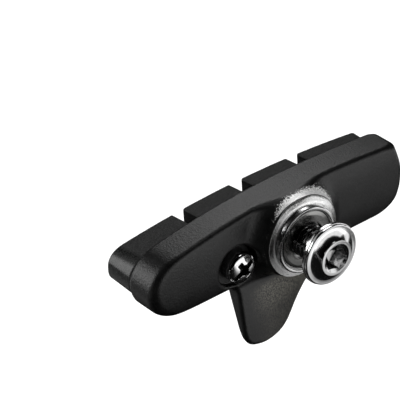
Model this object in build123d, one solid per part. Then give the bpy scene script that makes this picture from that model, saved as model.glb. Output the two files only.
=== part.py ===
from build123d import *
import os
from math import cos, sin, pi, sqrt, radians

# Road-bicycle rim brake shoe: a cast holder with a wheel-guide fin, a slide-in
# moulded friction pad, the pad's small locking screw, and the flanged M6 bolt
# with its two washers that clamps the shoe to a brake arm.
#
# Frame (mm): origin on the bolt axis, at the seat face that meets the brake
# arm. +X along the shoe towards its open end, +Y towards the rim, +Z up.

# ---------------------------------------------------------------- dimensions
# holder
X_CLOSED, X_OPEN = -29.75, 24.75      # ends of the holder (54.5 long)
Y_BACK, Y_LIP = 4.25, 10.0            # back face and front lip plane
TOP_Z, TOP_X, TOP_R = 7.72, 0.7, 144  # crown of the top edge: apex and radius
TOP_R_OPEN = 200                      # flatter towards the open end
BOTTOM_LEFT_Z, BOTTOM_RIGHT_Z = -5.95, -6.62      # lower edge runs slightly downhill
R_UL, R_UR, R_LR, R_LL = 4.6, 1.2, 3.2, 6.3   # end corner radii
END = (1.1, 11.0)                     # the open end is convex: height of its crest, radius
R_BACK_EDGE = 1.0                     # soft edge round the back face
# channel for the pad
OPEN_TOP, OPEN_R, OPEN_BOTTOM = 6.08, 168, -4.90
OPEN_LEFT = -29.32
CH_TOP, CH_R, CH_BOTTOM = 6.76, 150, -5.30
CH_LEFT = -28.70
Y_FLOOR, Y_LIP_IN = 6.80, 9.10        # channel floor, inside face of the lips
# boss round the bolt
BOSS_R, BOSS_RIM_R = 7.40, 6.50       # outside, and inner edge of the bevelled rim
BOSS_EDGE_Y, BOSS_FACE_Y, BOSS_FLARE_R = 1.65, 1.00, 9.95
TAP_R = 3.0
# wheel-guide fin
FIN_ROOT_Z, FIN_TIP_Z = -5.5, -17.5   # heights of the two guiding sections
FIN_ROOT_BACK, FIN_ROOT_T = 4.60, 3.80
FIN_TIP_BACK, FIN_TIP_T = 2.40, 1.30  # back surface and thickness at the tip
FIN_TIP_X0, FIN_TIP_CURVE, FIN_TIP_SLOPE = -11.0, 0.016, 0.30
# friction pad
Y_FACE, Y_SLOT = 16.75, 11.5          # friction face, slot bottoms
PAD_TOP, PAD_R, PAD_BOTTOM = 5.28, 165, -4.20        # outline at the lip plane
PAD_LEFT, PAD_RIGHT = -29.08, 25.00
FACE_TOP, FACE_R, FACE_BOTTOM = 4.52, 207, -3.24     # outline at the face
FACE_LEFT, FACE_RIGHT = -29.05, 25.40
PAD_APEX_X = -1.8
SLOTS = ((-15.00, -13.00), (-2.73, -0.37), (9.79, 11.90))
BASE_TOP, BASE_BOTTOM, BASE_LEFT, BASE_RIGHT = 6.62, -5.16, -28.58, 24.45
Y_BASE, Y_BASE_FRONT = 6.90, 8.98
WEAR_Y0, WEAR_Y1, WEAR_DEEP = 11.12, 11.45, 0.22
# pad locking screw (M3)
SCREW_X, SCREW_Z = -11.45, -1.95
RECESS_X, RECESS_Z = -12.00, -1.20    # pocket round the head, a little off the screw's axis
RECESS_R, RECESS_FLOOR_Y = 3.85, 5.40
SCREW_HEAD_R, SCREW_TOP_Y, SCREW_TIP_Y = 2.80, 2.65, 8.35
# fixing bolt (M6) and washers
SHANK_R, BOLT_TIP_Y = 2.97, 5.9
FLANGE_R, FLANGE_UNDER_Y, FLANGE_RIM_Y = 5.43, -5.50, -5.95
HUB_R, HUB_TOP_Y, HEX_AF, HEX_DEPTH = 3.20, -7.30, 4.0, 2.7
WASHER_R, WASHER_T = 5.55, 0.60
SEAT_R, SEAT_BORE_R = 6.15, 3.40

os.makedirs("parts", exist_ok=True)
UP_Y = Vector(0, 1, 0)


def at_y(y):
    """Sketch plane whose local x, y are the part's X and Z."""
    return Plane(origin=(0, y, 0), x_dir=(1, 0, 0), z_dir=(0, -1, 0))


def crown(x, apex_z, apex_x, r):
    return apex_z - (x - apex_x) ** 2 / (2.0 * r)


def outline(y, left, right, top, apex_x, r, bottom, radii, bottom_right=None, end=None, r_right=None):
    """Long outline with a crowned top edge; radii = ul, ur, lr, ll; end = crest height and radius of a round end."""
    low = bottom if bottom_right is None else bottom_right
    rr = r_right or r
    xr = xl = right
    if end:
        zc, re = end
        for _ in range(30):
            xr = right - re + sqrt(re ** 2 - (crown(xr, top, apex_x, rr) - zc) ** 2)
        xl = right - re + sqrt(re ** 2 - (low - zc) ** 2)
    tl = (left, crown(left, top, apex_x, r))
    tr = (xr, crown(xr, top, apex_x, rr))
    mx, ml, mr = 0.5 * (left + xr), 0.5 * (left + apex_x), 0.5 * (apex_x + xr)
    if r_right:
        top_edges = [ThreePointArc(tl, (ml, crown(ml, top, apex_x, r)), (apex_x, top)),
                     ThreePointArc((apex_x, top), (mr, crown(mr, top, apex_x, rr)), tr)]
    else:
        top_edges = [ThreePointArc(tl, (mx, crown(mx, top, apex_x, r)), tr)]
    if end:
        end_edge = ThreePointArc(tr, (right, end[0]), (xl, low))
    else:
        end_edge = Line(tr, (xl, low))
    edges = top_edges + [
        end_edge,
        Line((xl, low), (left, bottom)),
        Line((left, bottom), tl),
    ]
    face = make_face(edges)
    for px, pz, rad in ((left, tl[1], radii[0]), (xr, tr[1], radii[1]),
                        (xl, low, radii[2]), (left, bottom, radii[3])):
        if rad > 0:
            v = face.vertices().sort_by_distance((px, pz, 0))[0]
            face = fillet(v, rad)
    return at_y(y) * face


def ring(profile):
    """Solid of revolution about the bolt axis from (radius, y) points."""
    pts = [(r, y) for r, y in profile]
    face = Plane.XY * make_face(Polyline(*pts, close=True))
    return revolve(face, Axis.Y, 360)


# ------------------------------------------------------------------- holder
H_RADII = (R_UL, R_UR, R_LR, R_LL)
body_face = outline(Y_BACK, X_CLOSED, X_OPEN, TOP_Z, TOP_X, TOP_R, BOTTOM_LEFT_Z, H_RADII,
                    BOTTOM_RIGHT_Z, END, TOP_R_OPEN)
body = extrude(body_face, amount=Y_LIP - Y_BACK, dir=UP_Y)
body = fillet(body.faces().sort_by(Axis.Y)[0].edges(), R_BACK_EDGE)

# fin outline, seen along Y: upright left edge, round tip, long sloped right edge
fin_edges = [
    Line((-11.0, -5.0), (-11.2, -7.6)),
    Spline((-11.2, -7.6), (-11.62, -10.2), (-11.87, -12.6), (-11.98, -14.6), (-11.78, -16.3),
           (-10.8, -17.46), (-8.6, -18.06), (-6.0, -18.18), (-3.7, -17.96), (-1.9, -17.42),
           (-0.55, -16.55), (0.72, -15.30), (2.08, -13.87), (4.30, -11.90), (7.40, -9.50),
           tangents=[(-0.1, -1.0), (0.79, 0.61)]),
    Line((7.40, -9.50), (12.1, -6.20)),
    Line((12.1, -6.20), (12.1, -5.0)),
    Line((12.1, -5.0), (-11.0, -5.0)),
]
fin_prism = extrude(at_y(-4.0) * make_face(fin_edges), amount=20.0, dir=UP_Y)


def fin_tip_back(x):
    """Back surface at the tip section: curved at the left, straight at the right."""
    if x < 0:
        return FIN_TIP_BACK + FIN_TIP_CURVE * (x - FIN_TIP_X0) ** 2
    return FIN_TIP_BACK + FIN_TIP_CURVE * FIN_TIP_X0 ** 2 + FIN_TIP_SLOPE * x


def fin_section(s):
    """Section at fraction s of the way from the root to the tip."""
    z = FIN_ROOT_Z + s * (FIN_TIP_Z - FIN_ROOT_Z)
    t = FIN_ROOT_T + s * (FIN_TIP_T - FIN_ROOT_T)
    xs = (-14, -11, -8, -5, -2, 1, 4, 9, 14)
    back = [(x, FIN_ROOT_BACK + s * (fin_tip_back(x) - FIN_ROOT_BACK)) for x in xs]
    front = [(x, y + t) for x, y in back]
    edges = [Spline(*back), Line(back[-1], front[-1]), Spline(*front), Line(front[0], back[0])]
    return Plane(origin=(0, 0, z)) * make_face(edges)


fin_slab = loft([fin_section(0.0), fin_section(1.09)], ruled=True)
fin = fin_slab & fin_prism

# boss: machined ring with a wide concave flare into the back face
f = BOSS_FLARE_R - BOSS_R
c45 = cos(radians(45))
boss_edges = [
    Line((0, 6.4), (BOSS_FLARE_R, 6.4)),
    Line((BOSS_FLARE_R, 6.4), (BOSS_FLARE_R, Y_BACK)),
    ThreePointArc((BOSS_FLARE_R, Y_BACK),
                  (BOSS_FLARE_R - f * c45, Y_BACK - f + f * c45),
                  (BOSS_R, Y_BACK - f)),
    Line((BOSS_R, Y_BACK - f), (BOSS_R, BOSS_EDGE_Y)),
    Line((BOSS_R, BOSS_EDGE_Y), (BOSS_RIM_R, BOSS_FACE_Y)),
    Line((BOSS_RIM_R, BOSS_FACE_Y), (0, BOSS_FACE_Y)),
    Line((0, BOSS_FACE_Y), (0, 6.4)),
]
flare = revolve(make_face(boss_edges), Axis.Y, 360)
body_prism = extrude(outline(-2.0, X_CLOSED, X_OPEN, TOP_Z, TOP_X, TOP_R, BOTTOM_LEFT_Z, H_RADII,
                             BOTTOM_RIGHT_Z, END, TOP_R_OPEN), amount=12.0, dir=UP_Y)
boss_core = ring([(0, 6.4), (BOSS_R, 6.4), (BOSS_R, BOSS_EDGE_Y),
                  (BOSS_RIM_R, BOSS_FACE_Y), (0, BOSS_FACE_Y)])
boss = (flare & body_prism) + boss_core

holder = body + boss + fin

# channel that takes the pad, open at the +X end
mouth = extrude(outline(Y_LIP_IN - 0.01, OPEN_LEFT, X_OPEN + 4, OPEN_TOP, PAD_APEX_X, OPEN_R,
                        OPEN_BOTTOM, (3.9, 0, 0, 4.6)), amount=3.0, dir=UP_Y)
channel = extrude(outline(Y_FLOOR, CH_LEFT, X_OPEN + 4, CH_TOP, PAD_APEX_X, CH_R,
                          CH_BOTTOM, (3.9, 0, 0, 4.8)), amount=Y_LIP_IN - Y_FLOOR, dir=UP_Y)
holder = holder - mouth - channel

# tapped hole for the bolt, pocket and hole for the locking screw
y_axis_plane = Plane(origin=(0, -1, 0), x_dir=(1, 0, 0), z_dir=(0, 1, 0))
holder = holder - extrude(y_axis_plane * Circle(TAP_R), amount=9.0)
screw_plane = Plane(origin=(SCREW_X, 0, SCREW_Z), x_dir=(1, 0, 0), z_dir=(0, 1, 0))
recess_plane = Plane(origin=(RECESS_X, 0, RECESS_Z), x_dir=(1, 0, 0), z_dir=(0, 1, 0))
recess = extrude(recess_plane * Circle(RECESS_R), amount=RECESS_FLOOR_Y)
boss_keep = ring([(0, 9.0), (BOSS_R, 9.0), (BOSS_R, 0.5), (0, 0.5)])
holder = holder - (recess - boss_keep)
holder = holder - extrude(screw_plane * Circle(1.55), amount=9.0)

# ------------------------------------------------------------- friction pad
P_RADII = (3.5, 2.0, 2.6, 3.4)
F_RADII = (2.6, 1.6, 2.3, 2.5)
base_face = outline(Y_LIP, PAD_LEFT, PAD_RIGHT, PAD_TOP, PAD_APEX_X, PAD_R, PAD_BOTTOM, P_RADII)
top_face = outline(Y_FACE, FACE_LEFT, FACE_RIGHT, FACE_TOP, PAD_APEX_X - 0.4, FACE_R,
                   FACE_BOTTOM, F_RADII)
blocks = loft([base_face, top_face], ruled=True)
neck = extrude(outline(Y_BASE_FRONT, PAD_LEFT, PAD_RIGHT, PAD_TOP, PAD_APEX_X, PAD_R,
                       PAD_BOTTOM, P_RADII), amount=Y_LIP - Y_BASE_FRONT, dir=UP_Y)
neck = neck - Pos(BASE_LEFT - 3.6, Y_BASE_FRONT - 0.3, 0) * Box(10.0, 1.0, 30.0)
base = extrude(outline(Y_BASE, BASE_LEFT, BASE_RIGHT, BASE_TOP, PAD_APEX_X, CH_R,
                       BASE_BOTTOM, (3.8, 1.0, 1.5, 4.7), None, END), amount=Y_BASE_FRONT - Y_BASE, dir=UP_Y)
pad = base + neck + blocks
for x0, x1 in SLOTS:
    pad = pad - Pos((x0 + x1) / 2, Y_SLOT + 5, 0) * Box(x1 - x0, 10, 30)
# fine wear line along the foot of each block's top side
inner_face = outline(Y_LIP, PAD_LEFT, PAD_RIGHT, PAD_TOP - WEAR_DEEP, PAD_APEX_X, PAD_R,
                     PAD_BOTTOM, P_RADII)
inner_top = outline(Y_FACE, FACE_LEFT, FACE_RIGHT, FACE_TOP - WEAR_DEEP, PAD_APEX_X - 0.4, FACE_R,
                    FACE_BOTTOM, F_RADII)
skin = blocks - loft([inner_face, inner_top], ruled=True)
block_ends = (-25.4, SLOTS[0][0], SLOTS[0][1], SLOTS[1][0], SLOTS[1][1], SLOTS[2][0], SLOTS[2][1], 22.6)
for x0, x1 in zip(block_ends[0::2], block_ends[1::2]):
    groove = Pos((x0 + x1) / 2, (WEAR_Y0 + WEAR_Y1) / 2, 4.0) * Box(x1 - x0 - 1.2, WEAR_Y1 - WEAR_Y0, 6.0)
    pad = pad - (skin & groove)
pad = pad - extrude(Plane(origin=(SCREW_X, Y_BASE - 0.5, SCREW_Z), x_dir=(1, 0, 0), z_dir=(0, 1, 0))
                    * Circle(1.75), amount=2.2)

# ------------------------------------------------------------- locking screw
def screw_ring(profile):
    return Pos(SCREW_X, 0, SCREW_Z) * ring(profile)


screw_profile = [(0, SCREW_TOP_Y), (1.5, SCREW_TOP_Y), (2.15, SCREW_TOP_Y + 0.13),
                 (2.55, SCREW_TOP_Y + 0.4), (SCREW_HEAD_R, SCREW_TOP_Y + 0.8),
                 (SCREW_HEAD_R, RECESS_FLOOR_Y), (1.48, RECESS_FLOOR_Y),
                 (1.48, SCREW_TIP_Y - 0.3), (1.2, SCREW_TIP_Y), (0, SCREW_TIP_Y)]
screw = screw_ring(screw_profile)
cross_a = Pos(SCREW_X, SCREW_TOP_Y + 0.5, SCREW_Z) * (Rot(0, -30, 0) * Box(3.50, 2.0, 1.00))
cross_b = Pos(SCREW_X, SCREW_TOP_Y + 0.5, SCREW_Z) * (Rot(0, 60, 0) * Box(3.50, 2.0, 1.00))
slot = Pos(SCREW_X, SCREW_TOP_Y + 0.25, SCREW_Z) * (Rot(0, -30, 0) * Box(7.0, 1.3, 0.84))
screw = screw - cross_a - cross_b - slot

# --------------------------------------------------------------- fixing bolt
bolt = ring([(0, HUB_TOP_Y), (HUB_R - 0.15, HUB_TOP_Y), (HUB_R, HUB_TOP_Y + 0.15),
             (HUB_R, -7.08), (3.29, -6.86), (3.48, -6.60), (3.80, -6.36), (4.20, -6.13), (4.62, FLANGE_RIM_Y),
             (FLANGE_R - 0.12, FLANGE_RIM_Y), (FLANGE_R, FLANGE_RIM_Y + 0.12),
             (FLANGE_R, FLANGE_UNDER_Y), (SHANK_R, FLANGE_UNDER_Y),
             (SHANK_R, BOLT_TIP_Y - 0.6), (SHANK_R - 0.6, BOLT_TIP_Y), (0, BOLT_TIP_Y)])
hex_plane = Plane(origin=(0, HUB_TOP_Y, 0), x_dir=(1, 0, 0), z_dir=(0, 1, 0))
hex_cut = extrude(hex_plane * Rot(0, 0, 17) * RegularPolygon(HEX_AF / 2, 6, major_radius=False), amount=HEX_DEPTH)
bolt = bolt - hex_cut

head_washer = ring([(3.2, FLANGE_UNDER_Y), (WASHER_R - 0.1, FLANGE_UNDER_Y),
                    (WASHER_R, FLANGE_UNDER_Y + 0.1), (WASHER_R, FLANGE_UNDER_Y + WASHER_T - 0.1),
                    (WASHER_R - 0.1, FLANGE_UNDER_Y + WASHER_T), (3.2, FLANGE_UNDER_Y + WASHER_T)])

# seat washer: ring with a narrow flat rim round a low dome
seat_washer = ring([(SEAT_BORE_R, BOSS_FACE_Y), (SEAT_R, BOSS_FACE_Y), (6.05, 0.36), (5.98, 0.14),
                    (5.83, 0.0), (5.58, 0.0), (5.52, 0.06), (5.44, 0.50), (5.15, 0.25), (4.60, 0.10),
                    (4.20, 0.05), (3.80, 0.03), (3.50, 0.05), (SEAT_BORE_R, 0.15)])

NODES = {
    "holder": holder,
    "friction_pad": pad,
    "pad_screw": screw,
    "fixing_bolt": bolt,
    "head_washer": head_washer,
    "seat_washer": seat_washer,
}
for name, shape in NODES.items():
    export_step(shape, "parts/%s.step" % name)
    print(name, "solids", len(shape.solids()), "volume", round(shape.volume, 2))
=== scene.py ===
import math

import bpy
import numpy as np
from mathutils import Matrix, Vector


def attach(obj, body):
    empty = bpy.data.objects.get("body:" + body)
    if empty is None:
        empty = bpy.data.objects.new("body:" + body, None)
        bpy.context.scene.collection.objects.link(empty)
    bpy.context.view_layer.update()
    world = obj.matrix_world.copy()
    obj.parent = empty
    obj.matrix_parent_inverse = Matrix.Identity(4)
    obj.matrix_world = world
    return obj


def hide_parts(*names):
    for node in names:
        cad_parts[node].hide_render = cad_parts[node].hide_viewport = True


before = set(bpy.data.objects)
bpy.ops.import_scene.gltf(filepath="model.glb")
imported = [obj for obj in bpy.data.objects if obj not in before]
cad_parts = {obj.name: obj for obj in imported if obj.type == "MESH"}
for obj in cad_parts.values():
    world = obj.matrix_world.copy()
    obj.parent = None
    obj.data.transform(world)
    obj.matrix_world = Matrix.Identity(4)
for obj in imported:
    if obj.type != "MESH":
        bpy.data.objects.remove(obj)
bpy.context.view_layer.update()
scene = bpy.context.scene
MM = 0.001

# --------------------------------------------------------------------------
# Distance-field helpers (all lengths in mm, in the part's own frame)
# --------------------------------------------------------------------------


def meet(a, b, r):
    """Intersection of two fields with the shared edge rounded to radius r."""
    u = np.maximum(a + r, 0.0)
    v = np.maximum(b + r, 0.0)
    return np.minimum(np.maximum(a, b) + r, 0.0) + np.sqrt(u * u + v * v) - r


def join(a, b, r):
    """Union of two fields with the shared corner filled to radius r."""
    u = np.maximum(r - a, 0.0)
    v = np.maximum(r - b, 0.0)
    return np.maximum(np.minimum(a, b), r) - np.sqrt(u * u + v * v)


def cut(a, b, r):
    return meet(a, -b, r)


def long_outline(X, Z, left, right, top, apex, R, bottom, radii, bottom_right=None, end=None, R_right=None):
    """Crowned long outline, seen along the bolt; radii = ul, ur, lr, ll."""
    low_r = bottom if bottom_right is None else bottom_right
    R2 = R if R_right is None else R_right
    RX = np.where(X > apex, R2, R)
    a = (Z - (top - (X - apex) ** 2 / (2 * RX))) / np.sqrt(1 + ((X - apex) / RX) ** 2)
    xr = right
    if end:
        zc, Rb = end
        b = np.hypot(np.maximum(X - (right - Rb), 0), Z - zc) - Rb
        b = np.where(X > right - Rb, b, X - right)
    else:
        b = X - right + 0 * Z
    m = (low_r - bottom) / (xr - left)
    c = (bottom + m * (X - left) - Z) / math.sqrt(1 + m * m)
    e = left - X + 0 * Z
    ul, ur, lr, ll = radii
    return np.maximum(np.maximum(meet(e, a, ul), meet(a, b, ur)), np.maximum(meet(b, c, lr), meet(c, e, ll))), a


def spline_loop(points, per=10):
    """Closed smooth loop through points (centripetal-like Catmull-Rom)."""
    p = np.array(points, float)
    n = len(p)
    out = []
    for i in range(n):
        p0, p1, p2, p3 = p[i - 1], p[i], p[(i + 1) % n], p[(i + 2) % n]
        for t in np.linspace(0, 1, per, endpoint=False):
            out.append(0.5 * (2 * p1 + (p2 - p0) * t + (2 * p0 - 5 * p1 + 4 * p2 - p3) * t * t
                              + (3 * p1 - p0 - 3 * p2 + p3) * t ** 3))
    return np.array(out)


def polygon_field(X, Z, poly):
    """Signed distance to a closed polygon in the XZ plane."""
    X, Z = np.broadcast_arrays(X, Z)
    shape = X.shape
    x, z = X.ravel(), Z.ravel()
    best = np.full(x.shape, 1e9)
    inside = np.zeros(x.shape, bool)
    n = len(poly)
    for i in range(n):
        ax, az = poly[i]
        bx, bz = poly[(i + 1) % n]
        ex, ez = bx - ax, bz - az
        wx, wz = x - ax, z - az
        t = np.clip((wx * ex + wz * ez) / (ex * ex + ez * ez + 1e-12), 0, 1)
        dx, dz = wx - ex * t, wz - ez * t
        best = np.minimum(best, dx * dx + dz * dz)
        if az != bz:
            crosses = (az > z) != (bz > z)
            xi = ax + (z - az) / (bz - az) * ex
            inside ^= crosses & (x < xi)
    d = np.sqrt(best)
    return np.where(inside, -d, d).reshape(shape)


def surface(field, lo, hi, h, iterations=5):
    """Quad mesh of field = 0 on a grid of pitch h, with vertices pulled on to the surface."""
    lo, hi = np.array(lo, float), np.array(hi, float)
    n = np.ceil((hi - lo) / h).astype(int) + 1
    gx = lo[0] + h * np.arange(n[0])
    gy = lo[1] + h * np.arange(n[1])
    gz = lo[2] + h * np.arange(n[2])
    F = field(gx[:, None, None], gy[None, :, None], gz[None, None, :])
    F = np.broadcast_to(F, tuple(n)).astype(np.float32)
    S = F < 0
    c = np.array(S.shape) - 1
    count = np.zeros(tuple(c), np.int8)
    for i in (0, 1):
        for j in (0, 1):
            for k in (0, 1):
                count += S[i:i + c[0], j:j + c[1], k:k + c[2]]
    active = (count > 0) & (count < 8)
    idx = np.full(tuple(c), -1, np.int64)
    cells = np.argwhere(active)
    idx[active] = np.arange(len(cells))
    acc = np.zeros((len(cells), 3))
    num = np.zeros(len(cells))
    corners = [(i, j, k) for i in (0, 1) for j in (0, 1) for k in (0, 1)]
    for a in range(8):
        for b in range(a + 1, 8):
            A, B = np.array(corners[a]), np.array(corners[b])
            if np.abs(A - B).sum() != 1:
                continue
            fa = F[tuple((cells + A).T)]
            fb = F[tuple((cells + B).T)]
            m = (fa < 0) != (fb < 0)
            t = np.where(m, fa / np.where(m, fa - fb, 1), 0)
            acc += np.where(m[:, None], A + t[:, None] * (B - A), 0)
            num += m
    V = lo + h * (cells + acc / num[:, None])
    quads = []
    for ax in range(3):
        u, w = (ax + 1) % 3, (ax + 2) % 3
        sl0 = [slice(None)] * 3
        sl1 = [slice(None)] * 3
        sl0[ax], sl1[ax] = slice(0, -1), slice(1, None)
        s0, s1 = S[tuple(sl0)], S[tuple(sl1)]
        e = np.argwhere(s0 != s1)
        ok = (e[:, u] > 0) & (e[:, w] > 0) & (e[:, u] < c[u]) & (e[:, w] < c[w])
        e = e[ok]
        flip = s0[tuple(e.T)]
        du, dw = np.zeros(3, int), np.zeros(3, int)
        du[u], dw[w] = 1, 1
        q = np.stack([idx[tuple((e - du - dw).T)], idx[tuple((e - dw).T)],
                      idx[tuple(e.T)], idx[tuple((e - du).T)]], 1)
        q[~flip] = q[~flip][:, ::-1]
        quads.append(q)
    Q = np.concatenate(quads)
    eps = 0.02 * h
    for it in range(iterations):
        f0 = field(V[:, 0], V[:, 1], V[:, 2])
        g = np.stack([(field(V[:, 0] + eps * (k == 0), V[:, 1] + eps * (k == 1), V[:, 2] + eps * (k == 2)) - f0) / eps
                      for k in range(3)], 1)
        g2 = np.maximum((g * g).sum(1), 0.05)
        step = -(f0 / g2)[:, None] * g
        ln = np.linalg.norm(step, axis=1, keepdims=True)
        V = V + step * np.minimum(1, 0.6 * h / np.maximum(ln, 1e-9))
        if it < 2:  # even out the spacing along the surface
            nb = np.zeros_like(V)
            cnt = np.zeros(len(V))
            for a in range(4):
                i0, i1 = Q[:, a], Q[:, (a + 1) % 4]
                np.add.at(nb, i0, V[i1])
                np.add.at(cnt, i0, 1)
                np.add.at(nb, i1, V[i0])
                np.add.at(cnt, i1, 1)
            d = nb / np.maximum(cnt, 1)[:, None] - V
            nn = g / np.sqrt(g2)[:, None]
            V = V + 0.5 * (d - (d * nn).sum(1, keepdims=True) * nn)
    return V, Q


def make_mesh(name, V, faces, sharp=None):
    me = bpy.data.meshes.new(name)
    V = np.asarray(V, float) * MM
    if isinstance(faces, np.ndarray):
        a, b, c, d = (V[faces[:, i]] for i in range(4))
        if (np.cross(b - a, c - a) * a).sum() + (np.cross(c - a, d - a) * a).sum() < 0:
            faces = faces[:, ::-1]
        k = faces.shape[1]
        me.vertices.add(len(V))
        me.vertices.foreach_set("co", V.ravel().astype(np.float32))
        me.loops.add(faces.size)
        me.loops.foreach_set("vertex_index", faces.ravel().astype(np.int32))
        me.polygons.add(len(faces))
        me.polygons.foreach_set("loop_start", (np.arange(len(faces)) * k).astype(np.int32))
        me.update(calc_edges=True)
    else:
        vol = 0.0
        for f in faces:
            for i in range(1, len(f) - 1):
                vol += float(np.dot(V[f[0]], np.cross(V[f[i]], V[f[i + 1]])))
        if vol < 0:
            faces = [tuple(f)[::-1] for f in faces]
        me.from_pydata([tuple(v) for v in V], [], [tuple(int(i) for i in f) for f in faces])
    me.validate()
    me.polygons.foreach_set("use_smooth", np.ones(len(me.polygons), bool))
    if sharp is not None:
        me.set_sharp_from_angle(angle=math.radians(sharp))
    me.update()
    ob = bpy.data.objects.new(name, me)
    scene.collection.objects.link(ob)
    return ob


def rounded_path(points, per=7):
    """Polyline through (r, y, corner radius) points with round corners."""
    out = []
    n = len(points)
    for i, (x, y, rad) in enumerate(points):
        p = np.array([x, y], float)
        if rad <= 0 or i in (0, n - 1):
            out.append(p)
            continue
        a = np.array(points[i - 1][:2], float) - p
        b = np.array(points[i + 1][:2], float) - p
        la, lb = np.linalg.norm(a), np.linalg.norm(b)
        a, b = a / la, b / lb
        ang = math.acos(max(-1, min(1, float(a @ b))))
        if abs(ang - math.pi) < 1e-3:
            out.append(p)
            continue
        t = min(rad / math.tan(ang / 2), 0.48 * la, 0.48 * lb)
        r = t * math.tan(ang / 2)
        bis = (a + b) / np.linalg.norm(a + b)
        ctr = p + bis * (r / math.sin(ang / 2))
        s, e = p + a * t, p + b * t
        a0 = math.atan2(*(s - ctr)[::-1])
        a1 = math.atan2(*(e - ctr)[::-1])
        d = (a1 - a0 + math.pi) % (2 * math.pi) - math.pi
        for k in range(per + 1):
            th = a0 + d * k / per
            out.append(ctr + r * np.array([math.cos(th), math.sin(th)]))
    return out


def turned(name, rows, seg=160, cx=0.0, cz=0.0, closed=True, sharp=32):
    """Ring-by-ring solid about the Y axis. Each row is (radius or radius per angle, y or y per angle)."""
    th = np.arange(seg) * 2 * math.pi / seg
    V, F = [], []
    start = []
    for r, y in rows:
        start.append(len(V))
        r = np.broadcast_to(np.asarray(r, float), (seg,))
        y = np.broadcast_to(np.asarray(y, float), (seg,))
        for k in range(seg):
            V.append((cx + r[k] * math.cos(th[k]), y[k], cz + r[k] * math.sin(th[k])))
    n = len(rows)
    last = n if closed else n - 1
    for i in range(last):
        a, b = start[i], start[(i + 1) % n]
        for k in range(seg):
            k2 = (k + 1) % seg
            F.append((a + k, a + k2, b + k2, b + k))
    if not closed:
        for s, rev in ((start[0], True), (start[-1], False)):
            ring_ids = list(range(s, s + seg))
            F.append(tuple(ring_ids[::-1] if rev else ring_ids))
    return make_mesh(name, V, F, sharp)


# --------------------------------------------------------------------------
# Holder: channel body, boss and wheel-guide fin, one casting
# --------------------------------------------------------------------------
FIN = spline_loop([(-11.7, -5.0), (-11.8, -7.6), (-11.95, -10.2), (-12.05, -12.6), (-12.08, -14.6),
                   (-11.78, -16.3), (-10.8, -17.46), (-8.6, -18.06), (-6.0, -18.14), (-3.9, -17.85),
                   (-2.25, -17.15), (-1.0, -16.18), (0.30, -14.95), (1.75, -13.60), (4.05, -11.70),
                   (7.40, -9.50), (9.8, -7.80), (12.1, -6.20), (12.2, -5.2), (6.0, -4.6), (-5.0, -4.6)], 6)


def smooth(v, a, b):
    t = np.clip((v - a) / (b - a), 0.0, 1.0)
    return t * t * (3 - 2 * t)


def eased_outline(X, Z, reach, *shape):
    """Outline whose curvature changes gradually round the closed end, over about twice the reach."""
    d, a = long_outline(X, Z, *shape)
    m = 0.25 * long_outline(X - reach, Z, *shape)[0] + 0.5 * d + 0.25 * long_outline(X + reach, Z, *shape)[0]
    return d + (1 - smooth(X, -21.0, -13.0)) * (m - d), a


def fin_faces(X, Z):
    s = np.clip((-5.5 - Z) / 12.0, -0.1, 1.12)
    tip = np.where(X < 0, 2.40 + 0.016 * (X + 11.0) ** 2, 2.40 + 0.016 * 121.0 + 0.30 * X)
    yb = 4.60 + (s + 0.35 * s * (1 - s)) * (tip - 4.60)
    t = 3.80 + s * (1.30 - 3.80)
    return yb, yb + t


def holder_field(X, Y, Z):
    d2, _ = eased_outline(X, Z, 1.7, -29.75, 24.75, 7.72, 0.7, 144.0, -6.07, (4.6, 0.6, 3.2, 6.2), -6.76, (1.1, 15.0), 200.0)
    rr = np.hypot(X, Z)
    boss = meet(rr - 7.40, (rr - 6.50) * 0.585 + (1.0 - Y) * 0.811, 0.06)
    boss = meet(boss, 1.0 - Y, 0.10)
    face = 3.72 + (Z - 0.6) ** 2 / 90.0 + 0.012 * np.maximum(Z - 3.0, 0) ** 2 + 0.013 * np.maximum(-1.5 - Z, 0) ** 2 - Y
    back = join(face, boss, 3.4)
    # the back edge is tight along the crowned top and fuller round the ends and below
    soft = 1.40 - 0.25 * smooth(X, -29.0, -24.0) - 0.45 * smooth(Z, 0.5, 5.0) * smooth(X, -28.0, -21.0)
    soft = soft + 0.60 * (1 - smooth(X, -28.5, -19.0)) * (1 - smooth(Z, -4.5, 3.0))
    soft = soft + smooth(X, 21.0, 24.3) * (0.08 + 0.78 * smooth(Z, 1.2, 4.7))
    body = meet(d2, back, soft)
    body = np.minimum(body, np.maximum(boss, Y - 6.4))
    fd = polygon_field(X, Z, FIN)
    yb, yf = fin_faces(X, Z)
    slab = np.maximum(yb - Y, Y - yf) * 0.93
    fin = meet(fd, slab, 0.36 + 0.30 * smooth(-X, 7.0, 11.0))
    body = join(body, fin, 0.9)
    body = meet(body, Y - 10.0, 0.25 + 1.15 * smooth(X, 22.0, 24.4))
    mouth, _ = long_outline(X, Z, -29.32, 33.0, 6.08, -1.8, 168.0, -4.90, (3.9, 0.1, 0.1, 4.6))
    body = cut(body, np.maximum(mouth, 9.1 - Y), 0.24)
    chan, _ = long_outline(X, Z, -28.70, 33.0, 6.76, -1.8, 150.0, -5.30, (3.9, 0.1, 0.1, 4.8))
    body = np.maximum(body, -np.maximum(np.maximum(chan, 6.8 - Y), Y - 9.1))
    pocket = np.maximum(np.hypot(X + 12.05, Z + 1.5) - 3.82, Y - 5.4)
    body = cut(body, pocket, 0.55)
    return np.maximum(body, -np.maximum(rr - 3.0, Y - 7.0))


V, Q = surface(holder_field, (-30.3, 0.4, -18.5), (25.9, 10.6, 8.3), 0.25)
holder = make_mesh("holder_cast", V, Q)

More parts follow.
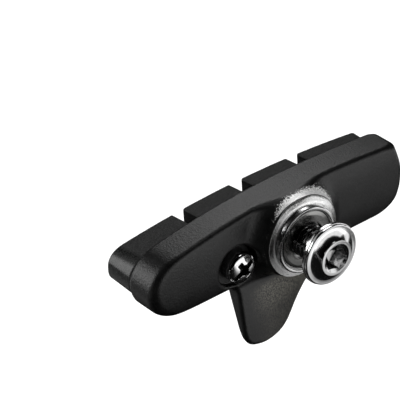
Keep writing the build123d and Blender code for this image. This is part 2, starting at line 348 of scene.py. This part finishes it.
# --------------------------------------------------------------------------
# Friction pad: tapered blocks on a slide-in root
# --------------------------------------------------------------------------
SLOTS = ((-15.00, -13.00), (-2.73, -0.37), (9.79, 11.90))
WEAR = ((-24.8, -15.72), (-12.4, -3.45), (0.23, 9.07), (12.5, 22.0))


def pad_field(X, Y, Z):
    dl, al = eased_outline(X, Z, 1.2, -29.08, 25.00, 5.28, -1.8, 165.0, -4.20, (3.5, 1.5, 2.6, 3.4))
    df, af = eased_outline(X, Z, 1.2, -29.05, 25.40, 4.52, -2.2, 207.0, -3.24, (2.6, 1.1, 2.3, 2.5))
    t = np.clip((Y - 10.0) / 6.75, 0.0, 1.0)
    d2 = (dl + t * (df - dl)) * 0.99
    top = al + t * (af - al)
    d = meet(d2, Y - 16.75, 0.16)
    d = np.maximum(d, 8.98 - Y)
    d = np.maximum(d, -np.maximum(X + 28.58, Y - 9.18))
    for x0, x1 in SLOTS:
        s = np.maximum(np.abs(X - (x0 + x1) / 2) - (x1 - x0) / 2, 11.5 - Y)
        d = cut(d, s + 0 * Z, 0.45)
    for x0, x1 in WEAR:
        g = np.maximum(np.abs(Y - 11.28) - 0.19, np.abs(X - (x0 + x1) / 2) - (x1 - x0) / 2)
        d = np.maximum(d, -np.maximum(g, -0.26 - top))
    db, _ = long_outline(X, Z, -28.58, 24.45, 6.62, -1.8, 150.0, -5.16, (3.8, 1.0, 1.5, 4.7), None, (1.1, 11.0))
    root = meet(db, np.maximum(6.9 - Y, Y - 8.98), 0.15)
    d = np.minimum(d, root)
    return np.maximum(d, -np.maximum(np.hypot(X + 11.45, Z + 1.95) - 1.75, Y - 8.6))


V, Q = surface(pad_field, (-29.6, 6.4, -5.8), (25.9, 17.2, 7.1), 0.19)
pad = make_mesh("pad_moulding", V, Q)

# --------------------------------------------------------------------------
# Fixing bolt, washers, locking screw
# --------------------------------------------------------------------------
SEG = 180
TH = np.arange(SEG) * 2 * math.pi / SEG
HEX0 = math.radians(43.0)


def hex_radius(half_flat, round_to=None):
    a = (TH - HEX0) % (math.pi / 3)
    r = half_flat / np.cos(a - math.pi / 6)
    return r


rows = []
# outside, from the socket's mouth over the hub and flange to the shank
cove = [(4.62 - 2.9 * (math.sin(a) - math.sin(math.radians(20))), -5.95 - 2.9 * (math.cos(math.radians(20)) - math.cos(a)), 0)
        for a in np.radians(np.linspace(56.0, 20.0, 19))]
head = rounded_path([(2.64, -7.30, 0), (3.20, -7.30, 0.12), (3.20, -7.10, 0)] + cove + [(5.26, -5.95, 0.14), (5.43, -5.82, 0.12),
                     (5.43, -5.52, 0.05), (5.36, -5.50, 0.0), (2.96, -5.50, 0.0)], 6)
rows += [(p[0], p[1]) for p in head]
# thread: 1 mm pitch, right-handed, between the flange and the tip
PITCH, CREST, ROOT = 1.0, 2.96, 2.60
ys = np.arange(-5.45, 5.5, 0.05)
for y in ys:
    ph = (y / PITCH + TH / (2 * math.pi)) % 1.0
    tri = 1 - np.abs(2 * ph - 1)
    prof = np.clip((tri - 0.10) / 0.78, 0, 1)
    fade = min(1.0, max(0.0, (y + 5.45) / 0.5)) * min(1.0, max(0.0, (5.5 - y) / 0.3))
    rows.append((CREST - (CREST - ROOT) * prof * fade, y))
rows.append((2.35, 5.9))
rows.append((0.02, 5.9))
# back up inside: the drilled end, socket walls and lead-in bevel
inner = [(0.02, -3.85), (1.0, -4.23), (hex_radius(1.90), -4.60), (hex_radius(2.0), -4.72),
         (hex_radius(2.06), -6.75), (hex_radius(2.06), -7.29 + 0.75 * (2.62 - hex_radius(2.06)))]


def bolt_mesh():
    """Bolt as one closed surface: outside rows, tip, and the hex socket joined at the hub's rim."""
    V, F = [], []
    seq = inner + rows
    starts = []
    for r, y in seq:
        starts.append(len(V))
        r = np.broadcast_to(np.asarray(r, float), (SEG,))
        y = np.broadcast_to(np.asarray(y, float), (SEG,))
        for k in range(SEG):
            V.append((r[k] * math.cos(TH[k]), y[k], r[k] * math.sin(TH[k])))
    for a, b in zip(starts[:-1], starts[1:]):
        for k in range(SEG):
            k2 = (k + 1) % SEG
            F.append((a + k, a + k2, b + k2, b + k))
    F.append(tuple(range(starts[0], starts[0] + SEG))[::-1])
    F.append(tuple(range(starts[-1], starts[-1] + SEG)))
    return V, F


BV, BF = bolt_mesh()
bolt = make_mesh("bolt_body", BV, BF, 34)

head_washer = turned("washer_head", rounded_path(
    [(3.2, -5.2, 0), (3.2, -5.49, 0.05), (5.55, -5.49, 0.12), (5.55, -4.90, 0.12), (3.2, -4.90, 0.05), (3.2, -5.15, 0)], 6),
    SEG, sharp=40)
seat_washer = turned("washer_seat", rounded_path(
    [(3.4, 0.8, 0), (3.4, 0.06, 0.06), (3.8, 0.03, 0.6), (4.6, 0.09, 0.9), (5.15, 0.24, 0.6), (5.44, 0.50, 0.06),
     (5.52, 0.05, 0.05), (5.60, 0.0, 0.04), (5.83, 0.0, 0.12), (6.02, 0.16, 0.15), (6.15, 0.98, 0.04),
     (3.4, 0.98, 0.03), (3.4, 0.85, 0)], 6),
    SEG, sharp=45)

SX, SZ = -11.45, -1.95


def screw_field(X, Y, Z):
    x, z = X - SX, Z - SZ
    r = np.hypot(x, z)
    crown = 2.65 + 0.075 * r * r
    d = meet(r - 2.80, crown - Y, 0.45)
    d = np.maximum(d, Y - 5.4)
    d = np.minimum(d, np.maximum(r - 1.48, np.maximum(5.2 - Y, Y - 8.35)))
    a = math.radians(30.0)
    u, w = x * math.cos(a) + z * math.sin(a), -x * math.sin(a) + z * math.cos(a)
    deep = np.maximum(Y - 2.65, 0)
    arm = np.maximum(np.abs(w) - (1.75 - 0.4 * deep), np.abs(u) - (0.50 - 0.10 * deep))
    along = np.maximum(np.abs(u) - (1.75 - 0.4 * deep), np.abs(w) - (0.50 - 0.10 * deep))
    cross = np.maximum(np.minimum(np.minimum(arm, along), r - (1.0 - 0.3 * deep)), Y - 4.25)
    slot = np.maximum(np.abs(w) - 0.42, Y - 3.55) + 0 * u
    cross = np.minimum(cross, slot)
    return cut(d, cross, 0.06)


V, Q = surface(screw_field, (SX - 3.05, 2.45, SZ - 3.05), (SX + 3.05, 8.6, SZ + 3.05), 0.075, 4)
screw = make_mesh("locking_screw", V, Q, 50)

# --------------------------------------------------------------------------
# Materials
# --------------------------------------------------------------------------


def new_material(name):
    m = bpy.data.materials.new(name)
    m.use_nodes = True
    nt = m.node_tree
    nt.nodes.clear()
    out = nt.nodes.new("ShaderNodeOutputMaterial")
    bsdf = nt.nodes.new("ShaderNodeBsdfPrincipled")
    nt.links.new(bsdf.outputs["BSDF"], out.inputs["Surface"])
    return m, nt, bsdf


class Graph:
    """Small helper to wire shader nodes."""

    def __init__(self, nt):
        self.nt = nt
        self.coord = nt.nodes.new("ShaderNodeTexCoord")

    def put(self, sock, value):
        if hasattr(value, "is_output"):
            self.nt.links.new(value, sock)
        else:
            sock.default_value = value

    def math(self, op, a, b=0.0, c=0.0, clamp=False):
        n = self.nt.nodes.new("ShaderNodeMath")
        n.operation = op
        n.use_clamp = clamp
        for s, v in zip(n.inputs, (a, b, c)):
            self.put(s, v)
        return n.outputs[0]

    def noise(self, scale, detail=2.0, rough=0.5, vector=None):
        n = self.nt.nodes.new("ShaderNodeTexNoise")
        self.put(n.inputs["Vector"], vector if vector is not None else self.coord.outputs["Object"])
        n.inputs["Scale"].default_value = scale
        n.inputs["Detail"].default_value = detail
        n.inputs["Roughness"].default_value = rough
        return n.outputs["Fac"]

    def split(self):
        n = self.nt.nodes.new("ShaderNodeSeparateXYZ")
        self.nt.links.new(self.coord.outputs["Object"], n.inputs[0])
        return n.outputs

    def ramp(self, fac, lo, hi, a=0.0, b=1.0):
        n = self.nt.nodes.new("ShaderNodeMapRange")
        n.interpolation_type = "SMOOTHSTEP"
        self.put(n.inputs["Value"], fac)
        for k, v in (("From Min", lo), ("From Max", hi), ("To Min", a), ("To Max", b)):
            self.put(n.inputs[k], v)
        return n.outputs["Result"]

    def mix(self, fac, a, b):
        n = self.nt.nodes.new("ShaderNodeMix")
        n.data_type = "RGBA"
        self.put(n.inputs["Factor"], fac)
        for key, v in (("A", a), ("B", b)):
            s = [i for i in n.inputs if i.name == key and i.type == "RGBA"][0]
            self.put(s, v)
        return [o for o in n.outputs if o.type == "RGBA"][0]

    def bump(self, height, strength, distance):
        n = self.nt.nodes.new("ShaderNodeBump")
        n.inputs["Strength"].default_value = strength
        n.inputs["Distance"].default_value = distance
        self.put(n.inputs["Height"], height)
        return n.outputs["Normal"]


# satin black paint over a cast body, rubbed bare on the machined boss
paint, nt, bsdf = new_material("satin_black_paint")
g = Graph(nt)
xyz = g.split()
x, y, z = (g.math("MULTIPLY", s, 1000.0) for s in (xyz[0], xyz[1], xyz[2]))
rr = g.math("SQRT", g.math("ADD", g.math("MULTIPLY", x, x), g.math("MULTIPLY", z, z)))
speck = g.noise(4600.0, 2.0, 0.6)
patch = g.noise(420.0, 2.0, 0.5)
# bare zone: the bevelled ring all round, and thin speckled cover on the upper side of the flare
ang = math.radians(72.0)
lean = g.math("DIVIDE", g.math("ADD", g.math("MULTIPLY", x, math.cos(ang)), g.math("MULTIPLY", z, math.sin(ang))),
              g.math("MAXIMUM", rr, 0.5))
reach = g.math("MULTIPLY", g.ramp(lean, math.cos(math.radians(74.0)), math.cos(math.radians(12.0))), 1.9)
level = g.math("ADD", g.math("ADD", 1.30, reach), g.math("MULTIPLY", g.math("SUBTRACT", speck, 0.5), 3.2))
thin = g.math("MULTIPLY", g.ramp(g.math("SUBTRACT", level, y), -0.15, 0.15), g.ramp(y, 1.78, 1.90))
west_paint_and_shade = g.ramp(g.math("DIVIDE", x, g.math("MAXIMUM", rr, 0.5)), -0.35, -0.95, 0.0, 0.30)  # paint reaches further in at the left; the same mask also darkens the bare metal there as painted shade
ring = g.ramp(g.math("ADD", g.math("ADD", y, west_paint_and_shade), g.math("MULTIPLY", g.math("SUBTRACT", speck, 0.5), 0.10)), 1.66, 1.60)
bare = g.math("MULTIPLY", g.math("MAXIMUM", ring, thin), g.ramp(rr, 10.2, 9.8))
tone = g.ramp(patch, 0.35, 0.65)
colour = g.mix(tone, (0.0014, 0.0015, 0.0015, 1), (0.0028, 0.0029, 0.0029, 1))
metal = g.mix(g.ramp(speck, 0.35, 0.68), (0.62, 0.62, 0.62, 1), (0.93, 0.93, 0.92, 1))
# painted shade: the bare metal goes dark grey towards the left
metal = g.mix(g.math("MULTIPLY", west_paint_and_shade, 2.6), metal, (0.22, 0.22, 0.22, 1))
# painted sheen: a lighter warm speckled band across the upper middle of the fin
band = g.math("ADD", z, g.math("MULTIPLY", x, -0.02))
painted_fin_sheen = g.math("MULTIPLY", g.ramp(band, -6.8, -8.4), g.ramp(band, -14.0, -9.8, 0.40, 1.0))
painted_fin_sheen = g.math("MULTIPLY", g.math("MULTIPLY", painted_fin_sheen, g.ramp(y, 6.2, 5.6)), g.ramp(x, -10.8, -5.5))
painted_fin_sheen = g.math("MULTIPLY", painted_fin_sheen, g.ramp(speck, 0.34, 0.66))
colour = g.mix(painted_fin_sheen, colour, (0.085, 0.080, 0.066, 1))
nt.links.new(g.mix(bare, colour, metal), bsdf.inputs["Base Color"])
dull = g.math("MULTIPLY", g.ramp(lean, -0.25, -0.75), 0.45)
nt.links.new(g.math("MULTIPLY", bare, g.math("SUBTRACT", g.ramp(ring, 0.0, 1.0, 0.6, 1.0), dull)), bsdf.inputs["Metallic"])
rough = g.math("ADD", g.ramp(ring, 0.0, 1.0, 0.37, 0.29), g.math("MULTIPLY", g.math("SUBTRACT", speck, 0.5), 0.12))
nt.links.new(rough, bsdf.inputs["Roughness"])
skin = g.math("ADD", g.math("MULTIPLY", g.noise(2400.0, 2.0, 0.5), 0.6), g.math("MULTIPLY", speck, 0.4))
skin = g.math("MULTIPLY", skin, g.ramp(ring, 0.0, 1.0, 1.0, 0.58))
nt.links.new(g.bump(skin, 0.62, 0.00012), bsdf.inputs["Normal"])
bsdf.inputs["Specular IOR Level"].default_value = 0.42

# matte grainy rubber compound, with a smoother moulded skin round the closed end
rubber, nt, bsdf = new_material("grainy_rubber")
g = Graph(nt)
xyz = g.split()
skin = g.ramp(xyz[0], -0.0272, -0.0245)
grain = g.noise(3400.0, 4.0, 0.62)
coarse = g.noise(500.0, 3.0, 0.5)
c = g.mix(g.ramp(grain, 0.34, 0.70), (0.002, 0.0021, 0.0021, 1), (0.0165, 0.017, 0.0165, 1))
# painted shade: near-black, rougher rubber along the joint at the holder's lip and inside the slots (the mask is 0
# there)
clear_of_painted_shade = g.ramp(xyz[1], 0.01095, 0.01135)
for x0, x1 in SLOTS:  # painted shade on the walls inside the slots
    off = g.math("ABSOLUTE", g.math("SUBTRACT", xyz[0], (x0 + x1) / 2 * MM))
    clear_of_painted_shade = g.math("MULTIPLY", clear_of_painted_shade, g.ramp(off, ((x1 - x0) / 2 + 0.05) * MM, ((x1 - x0) / 2 + 0.13) * MM))
nt.links.new(g.mix(clear_of_painted_shade, (0.0008, 0.0008, 0.0008, 1), c), bsdf.inputs["Base Color"])
rough = g.math("ADD", g.ramp(skin, 0.0, 1.0, 0.25, 0.56), g.math("MULTIPLY", g.math("SUBTRACT", coarse, 0.5), 0.14))
nt.links.new(g.math("ADD", rough, g.ramp(clear_of_painted_shade, 0.0, 1.0, 0.5, 0.0), clamp=True), bsdf.inputs["Roughness"])
h = g.math("ADD", g.math("MULTIPLY", grain, 0.7), g.math("MULTIPLY", coarse, 0.3))
h = g.math("MULTIPLY", h, g.ramp(skin, 0.0, 1.0, 0.12, 1.0))
nt.links.new(g.bump(h, 0.9, 0.00016), bsdf.inputs["Normal"])
bsdf.inputs["Specular IOR Level"].default_value = 0.33


def bright(name, rough0, rings, thread=False, painted_dome_shade=False, painted_recess_shade=False):
    """Bright plated steel; rings adds faint turning marks about the bolt's axis."""
    m, nt, bsdf = new_material(name)
    g = Graph(nt)
    xyz = g.split()
    r = g.math("SQRT", g.math("ADD", g.math("MULTIPLY", xyz[0], xyz[0]), g.math("MULTIPLY", xyz[2], xyz[2])))
    comb = nt.nodes.new("ShaderNodeCombineXYZ")
    nt.links.new(g.math("MULTIPLY", r, 40.0), comb.inputs[0])
    nt.links.new(xyz[1], comb.inputs[1])
    turn = g.noise(900.0, 2.0, 0.5, comb.outputs[0])
    wear = g.noise(900.0, 3.0, 0.6)
    plate = g.mix(g.ramp(wear, 0.3, 0.7), (0.74, 0.74, 0.745, 1), (0.86, 0.86, 0.86, 1))
    if thread:  # darker plate on the thread below the head: painted shade between the washers
        plate = g.mix(g.math("MULTIPLY", g.ramp(r, 0.00312, 0.00304), g.ramp(xyz[1], -0.0055, -0.0054)), plate, (0.48, 0.48, 0.48, 1))
    if painted_dome_shade:  # painted shade inside the rim, under the bolt head
        plate = g.mix(g.ramp(r, 0.00552, 0.00535), plate, (0.25, 0.25, 0.245, 1))
    if painted_recess_shade:  # painted shade in the driver recess
        dx = g.math("ADD", xyz[0], -SX * MM)
        dz = g.math("ADD", xyz[2], -SZ * MM)
        rs = g.math("SQRT", g.math("ADD", g.math("MULTIPLY", dx, dx), g.math("MULTIPLY", dz, dz)))
        sunk = g.math("SUBTRACT", xyz[1], g.math("ADD", 0.00265, g.math("MULTIPLY", g.math("MULTIPLY", rs, rs), 75.0)))
        plate = g.mix(g.math("MULTIPLY", g.ramp(sunk, 0.00010, 0.00030), g.ramp(rs, 0.00245, 0.00225)), plate, (0.03, 0.03, 0.03, 1))
    nt.links.new(plate, bsdf.inputs["Base Color"])
    bsdf.inputs["Metallic"].default_value = 1.0
    nt.links.new(g.math("ADD", rough0, g.math("MULTIPLY", wear, 0.07)), bsdf.inputs["Roughness"])
    nt.links.new(g.bump(g.math("ADD", g.math("MULTIPLY", turn, rings), g.math("MULTIPLY", wear, 0.3)), 0.10, 0.00002),
                 bsdf.inputs["Normal"])
    return m


chrome = bright("bright_plate", 0.13, 0.4, True)
satin = bright("satin_plate", 0.20, 0.8, painted_dome_shade=True)
zinc = bright("bright_zinc", 0.09, 0.0, painted_recess_shade=True)

for ob, mat, node, slot in ((holder, paint, "holder", "holder_black"), (pad, rubber, "friction_pad", "pad_rubber"),
                            (bolt, chrome, "fixing_bolt", "bright_steel"),
                            (head_washer, chrome, "head_washer", "bright_steel"),
                            (seat_washer, satin, "seat_washer", "bright_steel"),
                            (screw, zinc, "pad_screw", "bright_steel")):
    ob.data.materials.clear()
    ob.data.materials.append(mat)
    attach(ob, "root")
    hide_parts(node)

# --------------------------------------------------------------------------
# Camera, floor and studio light
# --------------------------------------------------------------------------
AZ, EL, ROLL = math.radians(-36.9448), math.radians(33.2178), math.radians(-3.8731)
OFF = np.array([11.558, 2.716, 505.335])
right = np.array([math.cos(AZ), math.sin(AZ), 0.0])
up = np.array([-math.sin(AZ) * math.sin(EL), math.cos(AZ) * math.sin(EL), math.cos(EL)])
look = np.array([-math.sin(AZ) * math.cos(EL), math.cos(AZ) * math.cos(EL), -math.sin(EL)])
r2 = math.cos(ROLL) * right + math.sin(ROLL) * up
u2 = -math.sin(ROLL) * right + math.cos(ROLL) * up
Rm = np.array([r2, -u2, look])
loc = (-(Rm.T @ OFF) + np.array([0.0, 10.0, 0.0])) * MM
cam_data = bpy.data.cameras.new("camera")
cam_data.sensor_width = 36.0
cam_data.lens = 271.2
cam_data.clip_start, cam_data.clip_end = 0.01, 20.0
cam = bpy.data.objects.new("camera", cam_data)
scene.collection.objects.link(cam)
cam.matrix_world = Matrix(((r2[0], u2[0], -look[0], loc[0]), (r2[1], u2[1], -look[1], loc[1]),
                           (r2[2], u2[2], -look[2], loc[2]), (0, 0, 0, 1)))
scene.camera = cam

floor_me = bpy.data.meshes.new("floor")
S, FZ = 1.6, -0.075
floor_me.from_pydata([(-S, -S, FZ), (S, -S, FZ), (S, S, FZ), (-S, S, FZ)], [], [(0, 1, 2, 3)])
floor = bpy.data.objects.new("floor", floor_me)
scene.collection.objects.link(floor)
fm, nt, bsdf = new_material("pale_floor")
bsdf.inputs["Base Color"].default_value = (0.93, 0.93, 0.93, 1)
bsdf.inputs["Roughness"].default_value = 1.0
bsdf.inputs["Specular IOR Level"].default_value = 0.0
floor_me.materials.append(fm)

# even white surround for the floor; gloss sees only the softboxes and a graded card
world = bpy.data.worlds.new("studio")
scene.world = world
world.use_nodes = True
wn = world.node_tree
wn.nodes.clear()
wo = wn.nodes.new("ShaderNodeOutputWorld")
bg = wn.nodes.new("ShaderNodeBackground")
bg.inputs["Color"].default_value = (1, 1, 1, 1)
bg.inputs["Strength"].default_value = 1.0
wn.links.new(bg.outputs[0], wo.inputs[0])
world.cycles_visibility.glossy = False

# graded card just over the floor, seen only in reflections: a painted shadow dark close to the part, black at the left
# front
card_me = bpy.data.meshes.new("graded_card")
CZ = FZ + 0.002
card_me.from_pydata([(-1.2, -1.2, CZ), (1.2, -1.2, CZ), (1.2, 1.2, CZ), (-1.2, 1.2, CZ)], [], [(0, 1, 2, 3)])
card = bpy.data.objects.new("graded_card", card_me)
scene.collection.objects.link(card)
km, nt, bsdf = new_material("graded_felt")
g = Graph(nt)
xyz = g.split()
rho = g.math("SQRT", g.math("ADD", g.math("MULTIPLY", xyz[0], xyz[0]), g.math("MULTIPLY", xyz[1], xyz[1])))
outside_painted_shadow = g.ramp(rho, 0.03, 0.18)
front_lit = g.math("MULTIPLY", g.ramp(xyz[0], -0.01, 0.035), g.ramp(xyz[1], -0.014, -0.054))
dim = g.math("MULTIPLY", g.ramp(xyz[0], 0.058, 0.092), g.ramp(xyz[1], -0.135, -0.11))
dim = g.math("MULTIPLY", dim, g.ramp(xyz[1], -0.06, -0.08))
front_lit = g.math("MULTIPLY", front_lit, g.ramp(dim, 0.0, 1.0, 1.0, 0.08))
edge = g.math("MULTIPLY", g.ramp(xyz[0], 0.10, 0.125), g.ramp(xyz[1], -0.09, -0.065))
front_lit = g.math("MULTIPLY", front_lit, g.ramp(edge, 0.0, 1.0, 1.0, 0.0))
back_lit = g.math("MULTIPLY", g.ramp(xyz[1], 0.0, 0.06), g.ramp(xyz[0], 0.0, -0.05))
back_lit = g.math("MULTIPLY", back_lit, g.ramp(xyz[0], -0.10, -0.078, 0.1, 0.42))
outer = g.math("MULTIPLY", g.ramp(xyz[1], 0.11, 0.15), g.math("MULTIPLY", g.ramp(xyz[0], 0.08, 0.05), g.ramp(xyz[0], -0.12, -0.08)))
outer = g.math("MAXIMUM", outer, g.math("MULTIPLY", g.ramp(xyz[0], 0.17, 0.21), g.ramp(xyz[1], 0.14, 0.10)))
outer = g.math("MAXIMUM", outer, g.math("MULTIPLY", g.ramp(xyz[0], -0.15, -0.19, 0.0, 0.5), g.math("MULTIPLY", g.ramp(xyz[1], -0.01, 0.02), g.ramp(xyz[1], 0.10, 0.06))))
open_side = g.math("MAXIMUM", g.math("MAXIMUM", front_lit, back_lit), g.math("MULTIPLY", outer, 0.75))
shade = g.math("ADD", 0.004, g.math("MULTIPLY", g.math("MULTIPLY", outside_painted_shadow, open_side), 0.98))
nt.links.new(g.mix(shade, (0, 0, 0, 1), (1, 1, 1, 1)), bsdf.inputs["Base Color"])
bsdf.inputs["Roughness"].default_value = 1.0
bsdf.inputs["Specular IOR Level"].default_value = 0.0
card_me.materials.append(km)
card.visible_camera = card.visible_diffuse = card.visible_shadow = False


def softbox(name, toward, dist, size, radiance, size_y=None):
    """Rectangular soft light in the given direction, aimed at the part, of the given surface brightness."""
    d = bpy.data.lights.new(name, "AREA")
    d.shape = "RECTANGLE"
    d.size = size
    d.size_y = size_y or size
    d.energy = radiance * math.pi * d.size * d.size_y
    o = bpy.data.objects.new(name, d)
    way = Vector(toward).normalized()
    o.location = way * dist
    o.rotation_mode = "QUATERNION"
    o.rotation_quaternion = (-way).to_track_quat("-Z", "Y")
    o.visible_camera = False
    scene.collection.objects.link(o)
    return o


softbox("back", (0.44, 0.61, 0.66), 0.5, 0.22, 3.5, 0.20)
softbox("back_left", (-0.47, 0.70, 0.50), 0.5, 0.34, 0.55, 0.26)
softbox("left_back", (-0.69, 0.67, 0.27), 0.35, 0.13, 4.5, 0.24)
softbox("front", (0.50, -0.85, 0.13), 0.30, 0.50, 0.98, 0.18)
softbox("over", (0.35, -0.05, 0.93), 0.5, 0.12, 2.2)

scene.view_settings.view_transform = "Standard"
